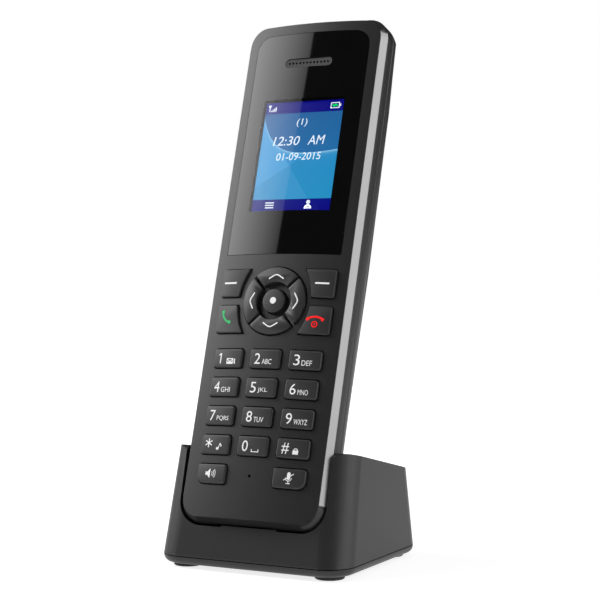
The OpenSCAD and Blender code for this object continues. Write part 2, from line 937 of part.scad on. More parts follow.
module rear_housing() {
    front = parting_depth + parting_gap / 2;
    door_length = door_end - door_start;
    ledge_half = door_half + door_gap + ledge_border;
    well_centre = (well_start + well_end) / 2;
    color(dark)
        in_handset()
            difference() {
                union() {
                    difference() {
                        back_solid(0, front);
                        back_solid(housing_wall, parting_depth - 1);
                    }
                    difference() {
                        handset_slab([[front - tongue_height, tongue_outer], [front + 0.6, tongue_outer]]);
                        handset_slab([[front - 2, housing_wall], [front + 1, housing_wall]]);
                    }
                    intersection() {
                        back_solid(0, board_back);
                        union() {
                            // walls and floor of the battery well, and the ledge under its door
                            translate([-well_half - well_wall, well_floor - well_wall,
                                       well_start - well_wall])
                                cube([2 * (well_half + well_wall), far, well_length + 2 * well_wall]);
                            translate([-ledge_half, door_front - ledge_depth, door_start - ledge_border])
                                cube([2 * ledge_half, far, door_length + 2 * ledge_border]);
                            at_housing_screws(handset_depth)
                                cylinder(h = handset_depth - post_end, r = post_radius + 0.9);
                            for (x = [-1, 1], z = [board_bottom + 6, board_top - 12])
                                translate([x * rib_x - rib_size[0] / 2, board_back, z])
                                    cube([rib_size[0], far, rib_size[1]]);
                        }
                    }
                }
                // battery well, door recess and hinge
                translate([-well_half, well_floor, well_start])
                    cube([2 * well_half, far, well_length]);
                translate([-door_half - door_gap, door_front, door_start - door_gap])
                    cube([2 * (door_half + door_gap), far, door_length + 2 * door_gap]);
                translate([-door_half - door_gap, hinge_y - knuckle_radius - knuckle_room,
                           door_start - door_gap])
                    cube([2 * (door_half + door_gap), far,
                          2 * knuckle_radius + knuckle_room + door_gap]);
                translate([0, hinge_y, hinge_z])
                    rotate([0, 90, 0])
                        cylinder(h = 2 * (door_half + door_pin_length + 0.1),
                                 d = door_pin + 2 * pin_clearance, center = true);
                // finger notch at the free end of the door
                translate([0, handset_depth + 4, door_end])
                    rotate([0, 90, 0])
                        cylinder(h = 10, r = 5, center = true);
                at_housing_screws(handset_depth + 1)
                    cylinder(h = handset_depth + 1 - screw_seat, d = screw_head + 0.4);
                at_housing_screws(handset_depth)
                    cylinder(h = handset_depth, d = screw_diameter + 2 * screw_clearance);
                translate([0, handset_depth + 1, speaker_z])
                    rotate([90, 0, 0]) {
                        cylinder(h = housing_wall + 2, d = speaker_hole);
                        for (turn = [0:speaker_holes - 1])
                            rotate(turn * 360 / speaker_holes)
                                translate([speaker_ring, 0, 0])
                                    cylinder(h = housing_wall + 2, d = speaker_hole);
                    }
                for (x = [-1, 1]) {
                    translate([x * (clip_slot_x - clip_slot_depth + half_width / 2),
                               clip_slot_y + clip_slot_width / 2,
                               handset_length - clip_slot_margin - clip_slot_length / 2])
                        cube([half_width, clip_slot_width, clip_slot_length], center = true);
                    translate([x * pin_pitch / 2 - contact_width / 2, pin_depth - contact_depth / 2, -1])
                        cube([contact_width, contact_depth, 1 + contact_recess + contact_thickness]);
                }
            }
}

module battery_door() {
    color(dark)
        in_handset()
            difference() {
                union() {
                    translate([-door_half, door_front, hinge_z])
                        cube([2 * door_half, door_thickness, door_end - hinge_z]);
                    translate([0, hinge_y, hinge_z])
                        rotate([0, 90, 0]) {
                            cylinder(h = 2 * door_half, r = knuckle_radius, center = true);
                            cylinder(h = 2 * (door_half + door_pin_length), d = door_pin, center = true);
                        }
                }
                for (i = [0:3])
                    translate([0, handset_depth + 0.5, door_end - 5 - 1.6 * i])
                        rotate([0, 90, 0])
                            cylinder(h = 12, r = 0.8, center = true);
            }
}

// ---- inside the handset ----

module battery_cell(side) {
    nub = 0.8;
    start = side < 0 ? cell_start + leaf_length : cell_start + cell_clearance;
    body = cell_length - nub;
    color([0.25, 0.45, 0.3])
        in_handset()
            translate([side * cell_pitch / 2, cell_y, start]) {
                translate([0, 0, side < 0 ? 0 : nub])
                    cylinder(h = body, d = cell_diameter);
                translate([0, 0, side < 0 ? body : 0])
                    cylinder(h = nub, d = cell_diameter / 3);
            }
}

module battery_cell_left() {
    battery_cell(-1);
}

module battery_cell_right() {
    battery_cell(1);
}

// Bent leaf that presses on the flat end of a cell
module battery_springs() {
    width = 5;
    half = 3.4;
    color(metal)
        in_handset()
            for (side = [-1, 1]) {
                root = side < 0 ? well_start : well_end;
                translate([side * cell_pitch / 2 - width / 2, cell_y, root])
                    scale([1, 1, -side])
                        rotate([90, 0, 90])
                            linear_extrude(width)
                                polygon([
                                    [-half, 0], [half, 0], [half, plate_thickness],
                                    [-half + 1.2, plate_thickness], [0, leaf_length - 0.3],
                                    [half - 0.6, 1.4], [half - 0.2, 1.7], [0.2, leaf_length],
                                    [-0.4, leaf_length], [-half, plate_thickness + 0.3]
                                ]);
            }
}

module battery_plates() {
    width = 8;
    color(metal)
        in_handset()
            for (side = [-1, 1])
                translate([side * cell_pitch / 2 - width / 2, cell_y - width / 2,
                           side < 0 ? well_end - plate_thickness : well_start])
                    cube([width, width, plate_thickness]);
}

module charge_contact(side) {
    color([0.83, 0.68, 0.36])
        in_handset()
            translate([side * pin_pitch / 2 - contact_width / 2, pin_depth - contact_depth / 2,
                       contact_recess])
                cube([contact_width, contact_depth, contact_thickness]);
}

module charge_contact_left() {
    charge_contact(-1);
}

module charge_contact_right() {
    charge_contact(1);
}

module housing_screws() {
    color(metal)
        in_handset()
            at_housing_screws(screw_seat)
                screw(housing_screw_length);
}

module earpiece_speaker() {
    color([0.15, 0.15, 0.16])
        in_handset()
            translate([0, capsule_front + capsule_height, grille_z])
                rotate([90, 0, 0])
                    difference() {
                        cylinder(h = capsule_height, d = capsule_diameter);
                        translate([0, 0, capsule_height - 0.4])
                            cylinder(h = 1, d = capsule_diameter - 3);
                    }
}

module lcd_module() {
    color([0.16, 0.45, 0.75])
        in_handset()
            difference() {
                through(lens_back, lens_back + module_depth)
                    translate([0, (picture_top + picture_bottom) / 2])
                        square([picture_width + 2 * (module_border - 0.3),
                                picture_height + 2 * (module_border - 0.3)], center = true);
                through(lens_back + module_depth - 0.4, lens_back + module_depth + 1)
                    translate([0, (picture_top + picture_bottom) / 2])
                        square([picture_width - 4, picture_height - 4], center = true);
            }
}

module keypad_sheet(from, to, border) {
    height = keypad_top - board_bottom - 2 * border;
    through(from, to)
        difference() {
            translate([0, board_bottom + border + height / 2])
                rounded_rect(2 * (board_half - border), height, 2);
            translate([0, mic_z])
                circle(mic_diameter / 2 + 0.3);
        }
}

module keypad_membrane() {
    back = membrane_front + membrane_thickness;
    color([0.3, 0.3, 0.32])
        in_handset()
            difference() {
                keypad_sheet(membrane_front, back, 0.2);
                for (p = key_points)
                    translate([p[0], back, p[1]])
                        rotate([90, 0, 0])
                            cylinder(h = dome_height + 0.1, r = dome_radius + 0.3);
            }
}

module dome_sheet() {
    color([0.8, 0.8, 0.78])
        in_handset() {
            keypad_sheet(board_front - dome_film, board_front, 0.6);
            for (p = key_points)
                translate([p[0], board_front - dome_film, p[1]])
                    rotate([90, 0, 0])
                        cylinder(h = dome_height, r1 = dome_radius, r2 = dome_radius / 2);
        }
}

module main_board() {
    color(board_green)
        in_handset()
            through(board_front, board_back)
                translate([0, (board_top + board_bottom) / 2])
                    rounded_rect(2 * board_half, board_top - board_bottom, 2);
}

module rf_shield() {
    wall = 0.3;
    color(metal)
        in_handset()
            translate([-shield_size[0] / 2, board_back, shield_z - shield_size[1] / 2])
                difference() {
                    cube([shield_size[0], shield_size[2], shield_size[1]]);
                    translate([wall, -1, wall])
                        cube([shield_size[0] - 2 * wall, 1 + shield_size[2] - wall,
                              shield_size[1] - 2 * wall]);
                }
}

module microphone() {
    color(metal)
        in_handset()
            translate([0, board_front, mic_z])
                rotate([90, 0, 0])
                    difference() {
                        cylinder(h = board_front - mic_front, d = mic_diameter);
                        translate([0, 0, board_front - mic_front - 0.4])
                            cylinder(h = 1, d = 0.8);
                    }
}

module loudspeaker() {
    color([0.15, 0.15, 0.16])
        in_handset()
            translate([0, speaker_front + speaker_height, speaker_z])
                rotate([90, 0, 0])
                    difference() {
                        cylinder(h = speaker_height, d = speaker_diameter);
                        translate([0, 0, -1])
                            cylinder(h = 1.5, d = speaker_diameter - 3);
                    }
}

// ---- keys ----

module digit_key(column, row) {
    key()
        digit_outline(column, row);
}

module nav_key(turn) {
    key(nav_rise)
        nav_outline(turn);
}

module side_key(side, up) {
    key()
        side_outline(side, up);
}

module soft_key_left() {
    side_key(-1, 1);
}

module soft_key_right() {
    side_key(1, 1);
}

module talk_key() {
    side_key(-1, -1);
}

module end_key() {
    side_key(1, -1);
}

module nav_up_key() {
    nav_key(0);
}

module nav_right_key() {
    nav_key(90);
}

module nav_down_key() {
    nav_key(180);
}

module nav_left_key() {
    nav_key(270);
}

module ok_key() {
    key()
        ok_outline();
}

module key_1() {
    digit_key(-1, 0);
}

module key_2() {
    digit_key(0, 0);
}

module key_3() {
    digit_key(1, 0);
}

module key_4() {
    digit_key(-1, 1);
}

module key_5() {
    digit_key(0, 1);
    // raised bar that a thumb can feel
    color(dark)
        in_handset()
            translate([bar_place[0], 0.12 - key_rise, row_z[1] + bar_place[1]])
                rotate([0, 90, 0])
                    cylinder(h = bar_length, d = bar_diameter, center = true);
}

module key_6() {
    digit_key(1, 1);
}

module key_7() {
    digit_key(-1, 2);
}

module key_8() {
    digit_key(0, 2);
}

module key_9() {
    digit_key(1, 2);
}

module key_star() {
    digit_key(-1, 3);
}

module key_0() {
    digit_key(0, 3);
}

module key_hash() {
    digit_key(1, 3);
}

module speaker_key() {
    key()
        low_outline(-1);
}

module mute_key() {
    key()
        low_outline(1);
}

cradle_upper_shell();
cradle_lower_shell();
cradle_feet();
cradle_screws();
cradle_circuit_board();
power_inlet();
charge_pin_carrier();
charge_pin_left();
charge_pin_right();
front_housing();
rear_housing();
screen_lens();
side_trim_left();
side_trim_right();
earpiece_grille();
earpiece_speaker();
lcd_module();
keypad_membrane();
dome_sheet();
main_board();
rf_shield();
microphone();
loudspeaker();
battery_cell_left();
battery_cell_right();
battery_springs();
battery_plates();
charge_contact_left();
charge_contact_right();
housing_screws();
battery_door();
soft_key_left();
soft_key_right();
talk_key();
end_key();
nav_up_key();
nav_down_key();
nav_left_key();
nav_right_key();
ok_key();
key_1();
key_2();
key_3();
key_4();
key_5();
key_6();
key_7();
key_8();
key_9();
key_star();
key_0();
key_hash();
speaker_key();
mute_key();
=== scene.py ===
import json
import math
import bmesh
import bpy
from mathutils import Matrix, Vector


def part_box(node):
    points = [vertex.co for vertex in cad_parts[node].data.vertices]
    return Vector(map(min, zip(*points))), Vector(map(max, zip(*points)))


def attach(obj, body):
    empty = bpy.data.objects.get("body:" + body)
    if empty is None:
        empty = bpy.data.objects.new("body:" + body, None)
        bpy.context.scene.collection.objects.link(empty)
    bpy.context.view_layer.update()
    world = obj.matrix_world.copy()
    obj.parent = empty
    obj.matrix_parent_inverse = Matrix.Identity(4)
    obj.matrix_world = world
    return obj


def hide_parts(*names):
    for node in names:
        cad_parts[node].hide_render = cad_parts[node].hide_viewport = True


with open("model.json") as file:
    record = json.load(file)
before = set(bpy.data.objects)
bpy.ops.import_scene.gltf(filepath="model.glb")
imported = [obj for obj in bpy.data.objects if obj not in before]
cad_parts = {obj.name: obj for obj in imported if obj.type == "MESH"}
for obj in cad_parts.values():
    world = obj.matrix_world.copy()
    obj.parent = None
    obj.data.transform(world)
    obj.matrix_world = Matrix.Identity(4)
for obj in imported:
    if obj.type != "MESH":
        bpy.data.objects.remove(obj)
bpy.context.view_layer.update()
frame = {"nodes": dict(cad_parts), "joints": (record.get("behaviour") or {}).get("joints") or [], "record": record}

mm = 0.001
print("frame loaded:", len(frame["nodes"]), "nodes")

# the handset's own frame: x across the face, y up along it, z out of it, in millimetres

liftAxis = next(j["axis"] for j in frame["joints"] if j["name"] == "handset_lift")
lean = math.atan2(liftAxis[1], liftAxis[2])
faceTurn = Matrix.Rotation(math.pi / 2 - lean, 4, "X")


def turnedBox(node, turn):
    back = turn.inverted()
    points = [back @ v.co for v in frame["nodes"][node].data.vertices]
    return [Vector(pick(p[i] for p in points) for i in range(3)) for pick in (min, max)]


shellLow, shellHigh = turnedBox("front_housing", faceTurn)
faceToRow = faceTurn @ Matrix.Translation((0, shellLow.y, shellHigh.z)) @ Matrix.Scale(mm, 4)
handsetHalf = (shellHigh.x - shellLow.x) / 2 / mm
crownRadius = 134


# low and high corner of a CAD node in the handset's frame
def faceBox(node):
    return turnedBox(node, faceToRow)


def crown(x):
    return math.sqrt(crownRadius ** 2 - x ** 2) - crownRadius


# a socket that takes part in sums
class Wire:
    def __init__(self, look, socket):
        self.look = look
        self.socket = socket

    def calc(self, operation, *others):
        return self.look.add("ShaderNodeMath", {"operation": operation}, [self, *others])

    def __add__(self, other):
        return self.calc("ADD", other)

    def __sub__(self, other):
        return self.calc("SUBTRACT", other)

    def __mul__(self, other):
        return self.calc("MULTIPLY", other)

    def __rsub__(self, other):
        return self.look.add("ShaderNodeMath", {"operation": "SUBTRACT"}, [other, self])

    __radd__ = __add__
    __rmul__ = __mul__


# a material under construction
class Look:
    def __init__(self, name):
        self.material = bpy.data.materials.new(name)
        self.material.use_nodes = True
        self.tree = self.material.node_tree
        self.tree.nodes.clear()
        self.output = self.tree.nodes.new("ShaderNodeOutputMaterial")

    def add(self, kind, settings=None, inputs=None, out=0):
        node = self.tree.nodes.new(kind)
        for key, value in (settings or {}).items():
            setattr(node, key, value)
        pairs = enumerate(inputs) if isinstance(inputs, list) else (inputs or {}).items()
        for key, value in pairs:
            if isinstance(value, Wire):
                self.tree.links.new(value.socket, node.inputs[key])
            elif value is not None:
                node.inputs[key].default_value = value
        return Wire(self, node.outputs[out])

    def objectPoint(self):
        return self.add("ShaderNodeTexCoord", out=3)

    def noise(self, scale, detail=3, roughness=0.55, point=None):
        return self.add("ShaderNodeTexNoise", {}, {"Vector": point or self.objectPoint(), "Scale": scale,
                                                   "Detail": detail, "Roughness": roughness})

    def mix(self, share, first, second):
        return self.add("ShaderNodeMix", {"data_type": "RGBA"}, {0: share, 6: first, 7: second}, out=2)

    def bump(self, height, strength, distance):
        return self.add("ShaderNodeBump", {}, {"Strength": strength, "Distance": distance, "Height": height})

    def finish(self, shader):
        self.tree.links.new(shader.socket, self.output.inputs["Surface"])
        return self.material


def rgb(level, tint=(1, 1, 1)):
    return (level * tint[0], level * tint[1], level * tint[2], 1)


def mouldedPlastic(name, level, speckle, roughness, grain, bumpStrength=0.25, tint=(1, 1, 1.02)):
    look = Look(name)
    fine = look.noise(grain, 2, 0.6)
    soft = look.noise(60, 2)
    flecks = look.add("ShaderNodeMapRange", {}, {
        "Value": look.noise(grain * 1.7, 1), "From Min": 0.56, "From Max": 0.74})
    colour = look.mix(flecks * speckle, rgb(level, tint), rgb(level * 3.2, tint))
    colour = look.mix(soft * 0.25, colour, rgb(level * 1.25, tint))
    shader = look.add("ShaderNodeBsdfPrincipled", {}, {
        "Base Color": colour,
        "Roughness": fine * 0.12 + (roughness - 0.06),
        "Specular IOR Level": 0.5,
        "Normal": look.bump(fine, bumpStrength, 0.00004),
    })
    return look.finish(shader)


def silverPaint():
    look = Look("silverPaint")
    flake = look.noise(9000, 1)
    drift = look.noise(40, 2)
    shader = look.add("ShaderNodeBsdfPrincipled", {}, {
        "Base Color": look.mix(drift, rgb(0.27), rgb(0.32)),
        "Metallic": 0.7,
        "Roughness": flake * 0.1 + 0.36,
        "Normal": look.bump(flake, 0.12, 0.00002),
    })
    return look.finish(shader)


def plainMetal(name, colour, roughness):
    look = Look(name)
    wear = look.noise(700, 3)
    shader = look.add("ShaderNodeBsdfPrincipled", {}, {
        "Base Color": look.mix(wear, colour, tuple(0.7 * c for c in colour[:3]) + (1,)),
        "Metallic": 1.0,
        "Roughness": wear * 0.2 + roughness,
        "Normal": look.bump(wear, 0.1, 0.00003),
    })
    return look.finish(shader)


# glow is light the print gives off by itself: true for the display's signs, a painted glow where it is used for
# the key legends
def printInk(name, colour, glow=0.0):
    look = Look(name)
    grit = look.noise(5000, 2)
    shader = look.add("ShaderNodeBsdfPrincipled", {}, {
        "Base Color": look.mix(grit * 0.3, colour, tuple(0.8 * c for c in colour[:3]) + (1,)),
        "Roughness": grit * 0.15 + 0.45,
        "Emission Color": colour,
        "Emission Strength": glow,
    })
    return look.finish(shader)


def rubber():
    look = Look("footRubber")
    grit = look.noise(2500, 4)
    shader = look.add("ShaderNodeBsdfPrincipled", {}, {
        "Base Color": look.mix(grit, rgb(0.010), rgb(0.022)),
        "Roughness": grit * 0.15 + 0.68,
        "Normal": look.bump(grit, 0.3, 0.00005),
    })
    return look.finish(shader)


# coordinates in millimetres from one place on the face
def facePoint(look, x, y):
    place = faceToRow @ Vector((x, y, 0))
    mapping = look.add("ShaderNodeMapping", {"vector_type": "TEXTURE"}, {
        "Vector": look.objectPoint(), "Location": place,
        "Rotation": (math.pi / 2 - lean, 0, 0), "Scale": (mm, mm, mm)})
    split = look.add("ShaderNodeSeparateXYZ", {}, {"Vector": mapping})
    return split, Wire(look, split.socket.node.outputs[1])


def inside(value, half):
    return value.calc("ABSOLUTE").calc("LESS_THAN", half)


def lensGloss(picture):
    look = Look("lensGloss")
    across, up = facePoint(look, 0, (picture["low"] + picture["high"]) / 2)
    halfWidth = picture["width"] / 2 + lensShape["windowMargin"]
    halfHeight = (picture["high"] - picture["low"]) / 2 + lensShape["windowMargin"]
    window = inside(across, halfWidth) * inside(up, halfHeight)
    smudge = look.noise(90, 3)
    black = look.add("ShaderNodeBsdfPrincipled", {}, {
        "Base Color": look.mix(smudge, rgb(0.0015), rgb(0.003)),
        "Roughness": smudge * 0.02 + 0.03,
        "Specular IOR Level": 0.5,
    })
    clear = look.add("ShaderNodeBsdfTransparent", {}, {"Color": rgb(0.95)})
    gloss = look.add("ShaderNodeBsdfGlossy", {}, {"Roughness": 0.03})
    fresnel = look.add("ShaderNodeFresnel", {}, {"IOR": 1.45})
    pane = look.add("ShaderNodeMixShader", {}, [fresnel, clear, gloss])
    return look.finish(look.add("ShaderNodeMixShader", {}, [window, black, pane]))


# the picture's lines in millimetres from its upper left corner
wallpaper = {"lineDepth": 18.8, "fall": 13.3, "fallRate": 0.222, "liftFrom": 10, "lift": 0.0036,
             "topBar": 4.05, "bottomBar": 4.15}


def displayPicture(picture):
    look = Look("displayPicture")
    height = picture["high"] - picture["low"]
    across, up = facePoint(look, -picture["width"] / 2, picture["high"])
    down = 0 - up
    # the bright line of the wallpaper falls steeply at the left and rises a little at the right
    fall = (across * -wallpaper["fallRate"]).calc("EXPONENT") * wallpaper["fall"]
    lift = (across - wallpaper["liftFrom"]).calc("MAXIMUM", 0).calc("POWER", 2) * wallpaper["lift"]
    line = wallpaper["lineDepth"] - fall - lift
    below = (down - line).calc("GREATER_THAN", 0)
    glow = ((down - line).calc("ABSOLUTE") * -2.2).calc("EXPONENT") * below
    fan = ((down - wallpaper["lineDepth"]) + (across - 9) * -1.35).calc("GREATER_THAN", 0)
    fanRight = ((down - 22) + (across - 13) * 0.62).calc("GREATER_THAN", 0)
    depth = down * (1 / height)
    upper = look.mix(depth * 1.6, (0.016, 0.125, 0.34, 1), (0.014, 0.16, 0.42, 1))
    lower = look.mix(depth, (0.03, 0.27, 0.66, 1), (0.02, 0.33, 0.62, 1))
    lower = look.mix(fan * 0.5, lower, (0.09, 0.42, 0.78, 1))
    lower = look.mix(fanRight * 0.45, lower, (0.012, 0.24, 0.5, 1))
    colour = look.mix(below, upper, lower)
    colour = look.mix(glow * 0.85, colour, (0.4, 0.75, 1.0, 1))
    topBar = 1 - (down - wallpaper["topBar"]).calc("GREATER_THAN", 0)
    bottomBar = (down - (height - wallpaper["bottomBar"])).calc("GREATER_THAN", 0)
    bars = topBar + bottomBar
    colour = look.mix(bars, colour, (0.0, 0.0, 0.22, 1))
    grid = look.noise(7000, 0)
    shader = look.add("ShaderNodeBsdfPrincipled", {}, {
        "Base Color": rgb(0.002),
        "Roughness": grid * 0.1 + 0.3,
        "Emission Color": colour,
        "Emission Strength": 1.0,
    })
    return look.finish(shader)


def tidyMesh(bm, name, sharpAngle=32):
    bmesh.ops.remove_doubles(bm, verts=bm.verts, dist=1e-7)
    mesh = bpy.data.meshes.new(name)
    bm.to_mesh(mesh)
    bm.free()
    for face in mesh.polygons:
        face.use_smooth = True
    mesh.set_sharp_from_angle(angle=math.radians(sharpAngle))
    return mesh


def putPiece(name, mesh, body, material, replaced=()):
    piece = bpy.data.objects.new(name, mesh)
    bpy.context.scene.collection.objects.link(piece)
    mesh.materials.append(material)
    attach(piece, body)
    if replaced:
        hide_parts(*replaced)
    return piece


shellShape = {"mergeDistance": 2e-6, "sharpAngle": 30, "bevelAngle": 30, "shadingWeight": 50}


def bevelModifier(piece, width, segments):
    modifier = piece.modifiers.new("softEdges", "BEVEL")
    modifier.width = width * mm
    modifier.segments = segments
    modifier.limit_method = "ANGLE"
    modifier.angle_limit = math.radians(shellShape["bevelAngle"])
    modifier.harden_normals = True
    modifier.use_clamp_overlap = True


crownShape = {"reach": 0.09, "flat": 0.94}


# gives the crowned face the normals of its true curve
def trueCrown(mesh):
    toFace = faceToRow.inverted()
    points = [toFace @ v.co for v in mesh.vertices]
    normals = [Vector(n.vector) for n in mesh.corner_normals]
    turn = faceTurn.to_3x3()
    for face in mesh.polygons:
        if (turn.inverted() @ face.normal).z < crownShape["flat"]:
            continue
        if all(abs(points[v].z - crown(points[v].x)) < crownShape["reach"] for v in face.vertices):
            for corner in face.loop_indices:
                x = points[mesh.loops[corner].vertex_index].x
                normals[corner] = turn @ Vector((x, 0, math.sqrt(crownRadius ** 2 - x ** 2))).normalized()
    mesh.normals_split_custom_set(normals)


cornerShape = {"sideRadius": 12, "endRadius": 5, "outline": 8, "growth": 0.25,
               "reach": 24, "edge": 1.6, "tries": 5}


# rounds the four mitred corners of the handset's back, slice by slice
def roundCorners(bm):
    shape = cornerShape
    half, length = handsetHalf, (shellHigh.y - shellLow.y) / mm
    plan = shape["outline"]
    deep = turnedBox("rear_housing", faceToRow)[0].z
    bmesh.ops.transform(bm, matrix=faceToRow.inverted(), verts=bm.verts)

    def nearCorner(v):
        beyond = abs(v.co.y - length / 2)
        return abs(v.co.x) > half - shape["reach"] and beyond > length / 2 - shape["reach"]

    for _ in range(shape["tries"]):
        long = [e for e in bm.edges
                if e.calc_length() > shape["edge"] and all(nearCorner(v) for v in e.verts)]
        bmesh.ops.subdivide_edges(bm, edges=long, cuts=1)
        bmesh.ops.triangulate(bm, faces=[f for f in bm.faces if len(f.verts) > 3])
    for v in bm.verts:
        side = max(0, -v.co.z + deep + shape["sideRadius"])
        end = max(0, -v.co.z + deep + shape["endRadius"])
        if not nearCorner(v) or side == 0:
            continue
        across = half - shape["sideRadius"] + math.sqrt(max(0, shape["sideRadius"] ** 2 - side ** 2))
        along = length / 2 - shape["endRadius"] + math.sqrt(max(0, shape["endRadius"] ** 2 - end ** 2))
        beyond = v.co.y - length / 2
        rim = plan - math.hypot(max(0, abs(v.co.x) - half + plan), max(0, abs(beyond) - length / 2 + plan))
        under = max(0, min(across - abs(v.co.x), along - abs(beyond), rim))
        radius = plan + side * shape["growth"]
        x, y = abs(v.co.x) - across + radius, abs(beyond) - along + radius
        reach = math.hypot(x, y)
        if x > 0 and y > 0 and reach > radius - under:
            share = (radius - under) / reach
            v.co.x = math.copysign(across - radius + x * share, v.co.x)
            v.co.y = length / 2 + math.copysign(along - radius + y * share, beyond)
    bmesh.ops.transform(bm, matrix=faceToRow, verts=bm.verts)


# a merged copy of a CAD node with its hard edges rounded, which replaces it
def softCopy(node, name, body, material, width, segments, crowned=False):
    bm = bmesh.new()
    bm.from_mesh(frame["nodes"][node].data)
    bmesh.ops.remove_doubles(bm, verts=bm.verts, dist=shellShape["mergeDistance"])
    if node == "rear_housing":
        roundCorners(bm)
    mesh = tidyMesh(bm, name, shellShape["sharpAngle"])
    if crowned:
        trueCrown(mesh)
    piece = putPiece(name, mesh, body, material, [node])
    if width:
        bevelModifier(piece, width, segments)
    if not crowned:
        weighted = piece.modifiers.new("evenShading", "WEIGHTED_NORMAL")
        weighted.keep_sharp = True
        weighted.weight = shellShape["shadingWeight"]
    return piece


# moves a shape drawn on a flat face onto the crowned one, and into the row's frame
def onFace(bm, lift=0.0, curved=True):
    for v in bm.verts:
        v.co.z += lift + (crown(v.co.x) if curved else 0)
    bmesh.ops.transform(bm, matrix=faceToRow, verts=bm.verts)


def topRim(bm, level):
    return [e for e in bm.edges if all(abs(v.co.z - level) < 1e-4 for v in e.verts)
            and len(e.link_faces) == 2 and abs(e.calc_face_angle(0)) > 1]


# gives a flat outline depth below itself and rounds its upper rim
def thicken(bm, depth, rim, segments):
    made = bmesh.ops.extrude_face_region(bm, geom=bm.faces[:])["geom"]
    lower = [g for g in made if isinstance(g, bmesh.types.BMVert)]
    bmesh.ops.translate(bm, vec=(0, 0, -depth), verts=lower)
    bmesh.ops.recalc_face_normals(bm, faces=bm.faces)
    bmesh.ops.bevel(bm, geom=topRim(bm, 0), offset=rim, affect="EDGES", segments=segments,
                    profile=0.5, material=-1, clamp_overlap=True)
    return bm


def roundedPlate(width, height, radius, segments):
    bm = bmesh.new()
    bmesh.ops.create_grid(bm, x_segments=1, y_segments=1, size=0.5)
    bmesh.ops.scale(bm, vec=(width, height, 1), verts=bm.verts)
    bmesh.ops.bevel(bm, geom=bm.verts[:], offset=radius, affect="VERTICES", segments=segments,
                    profile=0.5, material=-1)
    return bm


housingPlastic = mouldedPlastic("housingPlastic", 0.012, 0.5, 0.40, 2600)
keyPlastic = mouldedPlastic("keyPlastic", 0.018, 0.15, 0.46, 3800, 0.18)
cradlePlastic = mouldedPlastic("cradlePlastic", 0.012, 0.35, 0.44, 3000, 0.3)
cradleBasePlastic = mouldedPlastic("cradleBasePlastic", 0.006, 0.1, 0.42, 2600, 0.15)
grillePlastic = mouldedPlastic("grillePlastic", 0.014, 0.1, 0.45, 3000)
innerPlastic = mouldedPlastic("innerPlastic", 0.02, 0.1, 0.5, 2500)
circuitGreen = mouldedPlastic("circuitGreen", 0.05, 0.2, 0.4, 2500, 0.1, (0.3, 1.5, 0.6))
siliconeGrey = mouldedPlastic("siliconeGrey", 0.09, 0.1, 0.6, 2500)
filmWhite = mouldedPlastic("filmWhite", 0.55, 0.1, 0.35, 2500, 0.1)
cellWrap = mouldedPlastic("cellWrap", 0.1, 0.1, 0.35, 2500, 0.1, (0.5, 1.2, 0.7))
silver = silverPaint()
nickel = plainMetal("nickel", (0.62, 0.6, 0.56, 1), 0.25)
gold = plainMetal("goldPlate", (0.85, 0.62, 0.25, 1), 0.2)
screwSteel = plainMetal("screwSteel", (0.5, 0.5, 0.49, 1), 0.3)
footRubber = rubber()
# painted glow: the printed key legends are given a small emission of their own, stronger for the green and red
# signs, though no lamp lights them from behind
whiteInkPaintedGlow = printInk("whiteInkPaintedGlow", (0.82, 0.82, 0.82, 1), 0.12)
greenInkPaintedGlow = printInk("greenInkPaintedGlow", (0.0, 0.42, 0.11, 1), 0.25)
redInkPaintedGlow = printInk("redInkPaintedGlow", (0.9, 0.0, 0.0, 1), 0.35)

slotLooks = {
    "cradle_plastic": cradlePlastic, "cradle_base_plastic": cradleBasePlastic,
    "foot_rubber": footRubber, "screw_steel": screwSteel, "circuit_board": circuitGreen,
    "nickel": nickel, "inner_plastic": innerPlastic, "gold_contact": gold,
    "housing_plastic": housingPlastic, "silver_trim": silver, "grille_plastic": grillePlastic,
    "silicone": siliconeGrey, "film": filmWhite, "cell_wrap": cellWrap, "key_plastic": keyPlastic,
    "lens_gloss": keyPlastic, "display_glass": innerPlastic,
}
nodeSlots = {part["node"]: part["material_slot"] for part in frame["record"]["subparts"]}
for nodeName, nodeObject in frame["nodes"].items():
    nodeObject.data.materials.clear()
    nodeObject.data.materials.append(slotLooks[nodeSlots[nodeName]])
print("materials made")


for node, body, width, segments in [
        ("front_housing", "handset", 0, 0), ("rear_housing", "handset", 0, 0),
        ("battery_door", "battery_door", 0.2, 2), ("cradle_upper_shell", "cradle", 0.7, 3),
        ("cradle_lower_shell", "cradle", 0.25, 2), ("cradle_feet", "cradle", 0.2, 2)]:
    slotName = nodeSlots[node]
    softCopy(node, node + "_soft", body, slotLooks[slotName], width, segments,
             crowned=node == "front_housing")
print("shells softened")


keyShape = {"rim": 0.5, "corner": 0.9, "outerCorner": 2.6, "rimSegments": 4, "sharpAngle": 50}


def capFrom(bm, node):
    low, high = faceBox(node)
    lift = keyLift(node)
    depth = lift + crown(max(abs(low.x), abs(high.x))) - low.z
    bm = thicken(bm, depth, keyShape["rim"], keyShape["rimSegments"])
    onFace(bm, lift)
    mesh = tidyMesh(bm, node + "_cap", keyShape["sharpAngle"])
    putPiece(node + "_cap", mesh, node, keyPlastic, [node])


def keyLift(node):
    low, high = faceBox(node)
    nearest = 0 if low.x * high.x < 0 else min(abs(low.x), abs(high.x))
    return high.z - crown(nearest)


